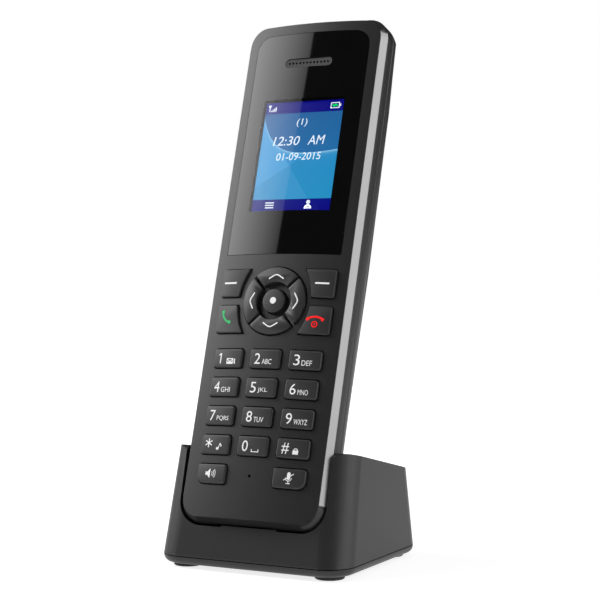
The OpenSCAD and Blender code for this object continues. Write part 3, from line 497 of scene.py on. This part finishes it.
def rectangleKey(node, outer=0):
    low, high = faceBox(node)
    bm = bmesh.new()
    bmesh.ops.create_grid(bm, x_segments=1, y_segments=1, size=0.5)
    bmesh.ops.scale(bm, vec=(high.x - low.x, high.y - low.y, 1), verts=bm.verts)
    wide = [v for v in bm.verts if outer and v.co.x * outer > 0 and v.co.y < 0]
    bmesh.ops.bevel(bm, geom=[v for v in bm.verts if v not in wide], offset=keyShape["corner"],
                    affect="VERTICES", segments=6, profile=0.5, material=-1)
    if wide:
        bmesh.ops.bevel(bm, geom=wide, offset=keyShape["outerCorner"], affect="VERTICES",
                        segments=8, profile=0.5, material=-1)
    bmesh.ops.translate(bm, vec=((low.x + high.x) / 2, (low.y + high.y) / 2, 0), verts=bm.verts)
    capFrom(bm, node)


sideShape = {"arc": 20, "arcOffset": 6.6, "steps": 14, "corner": 0.6}


# a key whose inner edge follows an arc round the navigation ring
def sideKey(node, side):
    low, high = faceBox(node)
    ringLow, ringHigh = faceBox("ok_key")
    ringY = (ringLow.y + ringHigh.y) / 2
    bm = bmesh.new()
    bmesh.ops.create_grid(bm, x_segments=1, y_segments=sideShape["steps"], size=0.5)
    bmesh.ops.scale(bm, vec=(high.x - low.x, high.y - low.y, 1), verts=bm.verts)
    bmesh.ops.translate(bm, vec=((low.x + high.x) / 2, (low.y + high.y) / 2, 0), verts=bm.verts)
    middle = (low.x + high.x) / 2
    for v in bm.verts:
        if (v.co.x - middle) * side < 0:
            reach = math.sqrt(sideShape["arc"] ** 2 - (v.co.y - ringY) ** 2)
            v.co.x = side * (reach - sideShape["arcOffset"])
    corners = [v for v in bm.verts if len(v.link_edges) == 2]
    bmesh.ops.bevel(bm, geom=corners, offset=sideShape["corner"], affect="VERTICES", segments=5,
                    profile=0.5, material=-1)
    bmesh.ops.dissolve_faces(bm, faces=bm.faces[:])
    capFrom(bm, node)


ringShape = {"outer": 11.2, "inner": 6.4, "split": 1.1, "steps": 18, "reach": 50, "corner": 0.35}


# a quarter of the navigation ring, cut with straight parallel gaps
def ringKey(node, turn):
    ringLow, ringHigh = faceBox("ok_key")
    bm = bmesh.new()
    ends = [bm.verts.new((0, r, 0)) for r in (ringShape["inner"], ringShape["outer"])]
    edge = bm.edges.new(ends)
    reach = math.radians(ringShape["reach"])
    bmesh.ops.rotate(bm, verts=ends, cent=(0, 0, 0), matrix=Matrix.Rotation(reach, 3, "Z"))
    bmesh.ops.spin(bm, geom=[*ends, edge], cent=(0, 0, 0), axis=(0, 0, 1), angle=-2 * reach,
                   steps=ringShape["steps"], use_merge=False, use_duplicate=False)
    for side in (-1, 1):
        cut = Vector((side, -1, 0)).normalized()
        bmesh.ops.bisect_plane(bm, geom=bm.verts[:] + bm.edges[:] + bm.faces[:],
                               plane_co=-cut * ringShape["split"] / 2, plane_no=cut, clear_outer=True)
    bmesh.ops.dissolve_faces(bm, faces=bm.faces[:])
    corners = [v for v in bm.verts if v.calc_edge_angle(0) > 0.6]
    bmesh.ops.bevel(bm, geom=corners, offset=ringShape["corner"], affect="VERTICES", segments=4,
                    profile=0.5, material=-1)
    bmesh.ops.rotate(bm, verts=bm.verts, cent=(0, 0, 0), matrix=Matrix.Rotation(-math.radians(turn), 3, "Z"))
    bmesh.ops.translate(bm, vec=(0, (ringLow.y + ringHigh.y) / 2, 0), verts=bm.verts)
    capFrom(bm, node)


for name in ["1", "2", "3", "4", "5", "6", "7", "8", "9", "star", "0", "hash"]:
    rectangleKey("key_" + name)
rectangleKey("speaker_key", -1)
rectangleKey("mute_key", 1)
sideKey("soft_key_left", -1)
sideKey("talk_key", -1)
sideKey("soft_key_right", 1)
sideKey("end_key", 1)
for turn, name in enumerate(["up", "right", "down", "left"]):
    ringKey("nav_" + name + "_key", 90 * turn)


def okCap():
    low, high = faceBox("ok_key")
    bm = bmesh.new()
    bmesh.ops.create_circle(bm, cap_ends=True, segments=48, radius=(high.x - low.x) / 2)
    bmesh.ops.translate(bm, vec=(0, (low.y + high.y) / 2, 0), verts=bm.verts)
    capFrom(bm, "ok_key")


okCap()
print("keys made")


lensShape = {"pictureMargin": 24, "pictureHeight": 38.6, "pictureDepth": 1.9, "windowMargin": 0.35}
picture = {"width": 29.4, "high": faceBox("screen_lens")[1].y - lensShape["pictureMargin"]}
picture["low"] = picture["high"] - lensShape["pictureHeight"]


def lensPiece():
    softCopy("screen_lens", "lens", "handset", lensGloss(picture), 0, 0, True)


def displayPiece():
    bm = roundedPlate(picture["width"], picture["high"] - picture["low"], 0.05, 1)
    bmesh.ops.translate(bm, vec=(0, (picture["low"] + picture["high"]) / 2, 0), verts=bm.verts)
    thicken(bm, 0.4, 0.02, 1)
    onFace(bm, -lensShape["pictureDepth"], curved=False)
    putPiece("display", tidyMesh(bm, "display"), "handset",
             displayPicture(picture), ["lcd_module"])


lensPiece()
displayPiece()
print("lens and display made")


inkShape = {"thickness": 0.02, "stroke": 0.42, "digitHeight": 3.5, "letterHeight": 1.7, "base": -1.85}


# flat signs drawn in millimetres about one point of the face
class Print:
    def __init__(self, place, stroke=inkShape["stroke"]):
        self.bm = bmesh.new()
        self.place = place
        self.stroke = stroke

    def keep(self, verts, x, y, turn=0.0):
        bmesh.ops.rotate(self.bm, verts=verts, cent=(0, 0, 0), matrix=Matrix.Rotation(turn, 3, "Z"))
        bmesh.ops.translate(self.bm, verts=verts, vec=(x, y, 0))

    def block(self, x, y, width, height, turn=0.0):
        verts = bmesh.ops.create_grid(self.bm, x_segments=1, y_segments=1, size=0.5)["verts"]
        bmesh.ops.scale(self.bm, vec=(width, height, 1), verts=verts)
        self.keep(verts, x, y, turn)

    def dot(self, x, y, radius, squash=1.0):
        verts = bmesh.ops.create_circle(self.bm, cap_ends=True, segments=28, radius=radius)["verts"]
        bmesh.ops.scale(self.bm, vec=(1, squash, 1), verts=verts)
        self.keep(verts, x, y)

    def line(self, *points, width=None):
        width = width or self.stroke
        for (x1, y1), (x2, y2) in zip(points, points[1:]):
            self.block((x1 + x2) / 2, (y1 + y2) / 2, math.hypot(x2 - x1, y2 - y1), width,
                       math.atan2(y2 - y1, x2 - x1))
        for x, y in points[1:-1] if len(points) > 2 else []:
            self.dot(x, y, width / 2)

    def arc(self, x, y, radius, start, end, width=None, steps=14):
        turns = [math.radians(start + (end - start) * i / steps) for i in range(steps + 1)]
        bend = [(x + radius * math.cos(t), y + radius * math.sin(t)) for t in turns]
        self.line(*bend, width=width)

    def words(self, text, left, base, height, width, slant=0.0):
        curve = bpy.data.curves.new("sign", "FONT")
        curve.body = text
        curve.resolution_u = 4
        curve.shear = slant
        letters = bpy.data.objects.new("sign", curve)
        bpy.context.scene.collection.objects.link(letters)
        mesh = bpy.data.meshes.new_from_object(letters.evaluated_get(bpy.context.evaluated_depsgraph_get()))
        bpy.data.objects.remove(letters)
        before = set(self.bm.verts)
        self.bm.from_mesh(mesh)
        verts = [v for v in self.bm.verts if v not in before]
        low = [min(v.co[i] for v in verts) for i in (0, 1)]
        high = [max(v.co[i] for v in verts) for i in (0, 1)]
        bmesh.ops.translate(self.bm, verts=verts, vec=(-low[0], -low[1], -verts[0].co.z))
        stretch = (width / (high[0] - low[0]), height / (high[1] - low[1]), 1)
        bmesh.ops.scale(self.bm, verts=verts, vec=stretch)
        bmesh.ops.translate(self.bm, verts=verts, vec=(left, base, 0))

    def finish(self, name, body, slotName, ink, lift, curved=True):
        for face in self.bm.faces:
            if face.normal.z < 0:
                face.normal_flip()
        made = bmesh.ops.extrude_face_region(self.bm, geom=self.bm.faces[:])["geom"]
        top = [g for g in made if isinstance(g, bmesh.types.BMVert)]
        bmesh.ops.translate(self.bm, vec=(0, 0, inkShape["thickness"]), verts=top)
        bmesh.ops.translate(self.bm, vec=(*self.place, 0), verts=self.bm.verts)
        bmesh.ops.recalc_face_normals(self.bm, faces=self.bm.faces)
        onFace(self.bm, lift, curved)
        mesh = bpy.data.meshes.new(name)
        self.bm.to_mesh(mesh)
        self.bm.free()
        putPiece(name, mesh, body, ink)


def keyPrint(node):
    low, high = faceBox(node)
    return Print(((low.x + high.x) / 2, (low.y + high.y) / 2))


def envelope(sign, x, y):
    sign.line((x - 1.3, y), (x - 1.3, y + 1.6), (x + 1.0, y + 1.6), (x + 1.0, y), (x - 1.3, y), width=0.3)
    sign.line((x - 1.3, y + 1.5), (x - 0.15, y + 0.6), (x + 1.0, y + 1.5), width=0.3)
    sign.block(x - 0.15, y + 0.35, 1.9, 0.5)
    sign.block(x + 1.65, y + 0.95, 0.45, 1.3)
    sign.dot(x + 1.75, y + 0.2, 0.28)


def musicNote(sign, x, y):
    sign.dot(x, y + 0.5, 0.55, 0.85)
    sign.line((x + 0.4, y + 0.5), (x + 0.75, y + 2.2), width=0.25)
    sign.line((x + 0.75, y + 2.2), (x + 1.35, y + 1.5), (x + 1.2, y + 1.1), width=0.35)


def spaceMark(sign, x, y):
    sign.line((x - 1.2, y + 0.8), (x - 1.2, y), (x + 1.2, y), (x + 1.2, y + 0.8), width=0.26)


def padlock(sign, x, y):
    sign.block(x, y + 0.65, 1.9, 1.3)
    sign.arc(x, y + 1.25, 0.6, 0, 180, width=0.3)
    sign.line((x - 0.6, y + 1.2), (x - 0.6, y + 1.3), width=0.3)


def speakerSign(sign):
    sign.block(-1.75, 0, 0.7, 1.1)
    for i in range(5):
        sign.block(-1.3 + 0.22 * i, 0, 0.24, 1.1 + 0.46 * i)
    for i, radius in enumerate((0.9, 1.5, 2.1)):
        sign.arc(-0.4, 0, radius, -42 + 2 * i, 42 - 2 * i, width=0.26)


def mutedMicrophone(sign):
    sign.block(0, 0.75, 1.15, 1.3)
    sign.dot(0, 1.4, 0.575)
    sign.dot(0, 0.1, 0.575)
    sign.arc(0, 0.2, 1.0, 180, 360, width=0.24)
    sign.line((0, -0.8), (0, -1.5), width=0.26)
    sign.line((-0.7, -1.6), (0.7, -1.6), width=0.28)
    sign.line((-1.6, -0.6), (1.6, 1.5), width=0.28)


digitKeys = {
    "key_1": ("1", None, envelope), "key_2": ("2", "ABC", None), "key_3": ("3", "DEF", None),
    "key_4": ("4", "GHI", None), "key_5": ("5", "JKL", None), "key_6": ("6", "MNO", None),
    "key_7": ("7", "PQRS", None), "key_8": ("8", "TUV", None), "key_9": ("9", "WXYZ", None),
    "key_star": ("*", None, musicNote), "key_0": ("0", None, spaceMark), "key_hash": ("#", None, padlock),
}
for node, (digit, letters, sign) in digitKeys.items():
    drawing = keyPrint(node)
    tall, base = inkShape["digitHeight"], inkShape["base"]
    if digit == "1":
        drawing.line((-3.55, base + 2.75), (-2.75, base + 3.3), (-2.75, base), width=0.42)
    elif digit == "*":
        for turn in (0, 60, 120):
            drawing.block(-2.5, base + 2.2, 2.9, 0.36, math.radians(turn + 90))
    else:
        drawing.words(digit, -3.7, base, tall, {"#": 2.5}.get(digit, 2.1))
    if letters:
        drawing.words(letters, -0.9, base, inkShape["letterHeight"], {3: 3.5, 4: 4.6}[len(letters)])
    else:
        sign(drawing, 1.1, base)
    drawing.finish(node + "_legend", node, "key_plastic", whiteInkPaintedGlow, keyLift(node))

speaker = keyPrint("speaker_key")
speakerSign(speaker)
speaker.finish("speaker_key_legend", "speaker_key", "key_plastic", whiteInkPaintedGlow, keyLift("speaker_key"))
muted = keyPrint("mute_key")
mutedMicrophone(muted)
muted.finish("mute_key_legend", "mute_key", "key_plastic", whiteInkPaintedGlow, keyLift("mute_key"))

ringLow, ringHigh = faceBox("ok_key")
ringY = (ringLow.y + ringHigh.y) / 2
for turn, name in enumerate(["up", "right", "down", "left"]):
    chevron = Print((0, ringY))
    bend = [(-2.7, 7.35), (-1.3, 8.2), (-0.6, 8.6), (0, 8.72), (0.6, 8.6), (1.3, 8.2), (2.7, 7.35)]
    a = -math.radians(90 * turn)
    chevron.line(*[(x * math.cos(a) - y * math.sin(a), x * math.sin(a) + y * math.cos(a)) for x, y in bend])
    node = "nav_" + name + "_key"
    chevron.finish(node + "_legend", node, "key_plastic", whiteInkPaintedGlow, keyLift(node))
centreDot = Print((0, ringY))
centreDot.dot(0, 0, 1.1)
centreDot.finish("ok_key_legend", "ok_key", "key_plastic", whiteInkPaintedGlow, keyLift("ok_key"))
for node, x in (("soft_key_left", -17.4), ("soft_key_right", 16.5)):
    low, high = faceBox(node)
    dash = Print((x, (low.y + high.y) / 2))
    dash.block(0, 0, 4.8, 0.58)
    dash.finish(node + "_legend", node, "key_plastic", whiteInkPaintedGlow, keyLift(node))

low, high = faceBox("talk_key")
talk = Print((-17.4, high.y - 4.35))
talk.arc(2.6, 2.3, 3.9, 180, 262, width=0.62)
talk.line((-1.32, 2.5), (-1.1, 1.5), width=0.95)
talk.line((1.0, -1.1), (2.1, -1.65), width=0.95)
talk.finish("talk_key_legend", "talk_key", "key_plastic", greenInkPaintedGlow, keyLift("talk_key"))
low, high = faceBox("end_key")
hangUp = Print((15.7, high.y - 3.5))
hangUp.arc(0, -4.8, 4.7, 55, 125, width=0.62)
for side in (-1, 1):
    hangUp.line((side * 2.9, -1.2), (side * 2.25, -0.75), width=1.0)
hangUp.arc(0, -2.6, 0.9, 0, 360, width=0.28, steps=28)
hangUp.line((-0.12, -3.0), (0.12, -2.2), width=0.28)
hangUp.finish("end_key_legend", "end_key", "key_plastic", redInkPaintedGlow, keyLift("end_key"))
print("legends made")

screenWhite = printInk("screenWhite", (0.9, 0.95, 1.0, 1), 0.85)
screenGreen = printInk("screenGreen", (0.0, 0.75, 0.1, 1), 0.9)
signLift = -lensShape["pictureDepth"]


# signs measured in millimetres from the picture's upper left corner
def screenPrint():
    return Print((-picture["width"] / 2, picture["high"]), 0.3)


whiteSigns = screenPrint()
whiteSigns.line((0.9, -1.0), (2.0, -1.0), width=0.25)
whiteSigns.line((1.0, -1.0), (1.45, -1.8), (1.9, -1.0), width=0.22)
whiteSigns.line((1.45, -1.2), (1.45, -3.2), width=0.28)
for i in range(4):
    whiteSigns.block(2.2 + 0.55 * i, -3.2 + (0.45 + 0.4 * i) / 2, 0.36, 0.45 + 0.4 * i)
whiteSigns.line((24.6, -1.1), (27.6, -1.1), (27.6, -2.9), (24.6, -2.9), (24.6, -1.1), width=0.3)
whiteSigns.block(28.0, -2.0, 0.5, 0.9)
whiteSigns.words("(1)", 12.6, -9.1, 3.0, 3.9, 0.1)
whiteSigns.words("12:30", 4.6, -15.5, 3.2, 10.0, 0.18)
whiteSigns.words("AM", 17.7, -15.5, 3.2, 6.3, 0.18)
whiteSigns.words("01-09-2015", 6.6, -20.8, 2.6, 16.6, 0.1)
for i in range(3):
    whiteSigns.block(6.6, -35.6 - 0.85 * i, 3.2, 0.4)
whiteSigns.dot(21.0, -35.6, 0.72)
whiteSigns.arc(21.0, -37.8, 1.15, 0, 180, width=0.4)
whiteSigns.block(21.0, -37.5, 2.2, 0.75)
whiteSigns.finish("display_signs", "handset", "display_glass", screenWhite, signLift, False)
greenSign = screenPrint()
greenSign.line((25.1, -1.7), (25.8, -2.3), (26.3, -1.7), (27.1, -2.3), width=0.45)
greenSign.finish("display_charge_sign", "handset", "display_glass", screenGreen, signLift, False)
print("display signs made")


footLow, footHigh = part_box("cradle_feet")
footMiddle = (footLow.y + footHigh.y) / 2
camera = {"place": (0.2461, footMiddle - 0.4539, 0.0970), "yaw": 28.05, "pitch": -2.37, "roll": -0.23,
          "lens": 94.16, "shift": (-0.001, 0.0522)}


def studioCamera():
    data = bpy.data.cameras.new("studioCamera")
    data.sensor_width = 36
    data.lens = camera["lens"]
    data.shift_x, data.shift_y = camera["shift"]
    data.clip_end = 20
    view = bpy.data.objects.new("studioCamera", data)
    bpy.context.scene.collection.objects.link(view)
    turn = (Matrix.Rotation(math.radians(camera["yaw"]), 4, "Z")
            @ Matrix.Rotation(math.radians(90 + camera["pitch"]), 4, "X")
            @ Matrix.Rotation(math.radians(camera["roll"]), 4, "Z"))
    view.matrix_world = Matrix.Translation(camera["place"]) @ turn
    bpy.context.scene.camera = view


# a point seen from the handset: azimuth 0 is in front of it and negative to its left
def towards(azimuth, elevation, distance):
    a, e = math.radians(azimuth), math.radians(elevation)
    return Vector((math.sin(a) * math.cos(e), -math.cos(a) * math.cos(e), math.sin(e))) * distance \
        + Vector((0, footMiddle, 0.12))


# each card is given by (azimuth, elevation) of its corners: near bottom, near top, far top, far bottom
cards = {
    "keyCard": {"corners": [(-35.6, 26), (-35.2, 40.5), (-78, 58), (-88, 6)],
                "distance": 1.6, "near": 1.0, "far": 10.5},
    "sideCard": {"corners": [(62, -2), (62, 40), (118, 48), (118, -2)],
                 "distance": 1.8, "near": 1.5, "far": 3.2},
    "topCard": {"corners": [(-60, 62), (60, 62), (150, 66), (-150, 66)],
                "distance": 1.7, "near": 0.8, "far": 1.6},
}


# a soft panel, brighter towards its far side
def lightCard(name, card):
    bm = bmesh.new()
    bmesh.ops.create_grid(bm, x_segments=1, y_segments=1, size=0.5)
    nearBottom, nearTop, farTop, farBottom = [towards(a, e, card["distance"]) for a, e in card["corners"]]
    for v in bm.verts:
        near, bottom = v.co.x < 0, v.co.y < 0
        v.co = (nearBottom if bottom else nearTop) if near else (farBottom if bottom else farTop)
    bmesh.ops.subdivide_edges(bm, edges=bm.edges[:], cuts=3, use_grid_fill=True)
    mesh = bpy.data.meshes.new(name)
    bm.to_mesh(mesh)
    bm.free()
    panel = bpy.data.objects.new(name, mesh)
    bpy.context.scene.collection.objects.link(panel)
    start = (nearBottom + nearTop) / 2
    run = (farBottom + farTop) / 2 - start
    look = Look(name)
    offset = look.add("ShaderNodeVectorMath", {"operation": "SUBTRACT"}, [look.objectPoint(), start])
    along = look.add("ShaderNodeVectorMath", {"operation": "DOT_PRODUCT"},
                     [offset, run / run.length_squared], out=1)
    level = (along * (card["far"] - card["near"]) + card["near"]) * (1 / card["far"])
    mesh.materials.append(look.finish(look.add("ShaderNodeEmission", {}, {
        "Color": look.mix(level, rgb(0), rgb(1)), "Strength": card["far"]})))
    panel.visible_camera = False


floorLook = {"halfSize": 4, "near": 0.77, "nearReach": 0.12, "farReach": 0.7, "glow": 1.04}


def paleFloor():
    bm = bmesh.new()
    bmesh.ops.create_grid(bm, x_segments=8, y_segments=8, size=floorLook["halfSize"])
    mesh = bpy.data.meshes.new("floor")
    bm.to_mesh(mesh)
    bm.free()
    floor = bpy.data.objects.new("floor", mesh)
    bpy.context.scene.collection.objects.link(floor)
    look = Look("floorPaper")
    fibre = look.noise(40, 3)
    reach = look.add("ShaderNodeVectorMath", {"operation": "LENGTH"}, [look.objectPoint()], out=1)
    far = look.add("ShaderNodeMapRange", {}, {
        "Value": reach, "From Min": floorLook["nearReach"], "From Max": floorLook["farReach"]})
    mesh.materials.append(look.finish(look.add("ShaderNodeBsdfPrincipled", {}, {
        "Base Color": look.mix(fibre * 0.1, rgb(0.5), rgb(0.47)), "Roughness": 0.9,
        "Emission Color": look.mix(far, rgb(floorLook["near"]), rgb(1)),
        "Emission Strength": floorLook["glow"]})))


worldDim = 0.04  # how bright the surroundings are in reflections


def studioWorld():
    world = bpy.data.worlds.new("studioWorld")
    bpy.context.scene.world = world
    world.use_nodes = True
    tree = world.node_tree
    seen = tree.nodes.new("ShaderNodeLightPath")
    paper, dim, choice = (tree.nodes.new(kind) for kind in (
        "ShaderNodeBackground", "ShaderNodeBackground", "ShaderNodeMixShader"))
    paper.inputs["Color"].default_value = rgb(1)
    dim.inputs["Color"].default_value = rgb(1)
    dim.inputs["Strength"].default_value = worldDim
    tree.links.new(seen.outputs["Is Camera Ray"], choice.inputs[0])
    tree.links.new(dim.outputs[0], choice.inputs[1])
    tree.links.new(paper.outputs[0], choice.inputs[2])
    tree.links.new(choice.outputs[0], tree.nodes["World Output"].inputs["Surface"])


studioCamera()
paleFloor()
studioWorld()
for cardName, card in cards.items():
    lightCard(cardName, card)
bpy.context.scene.view_settings.view_transform = "Standard"
print("studio ready")
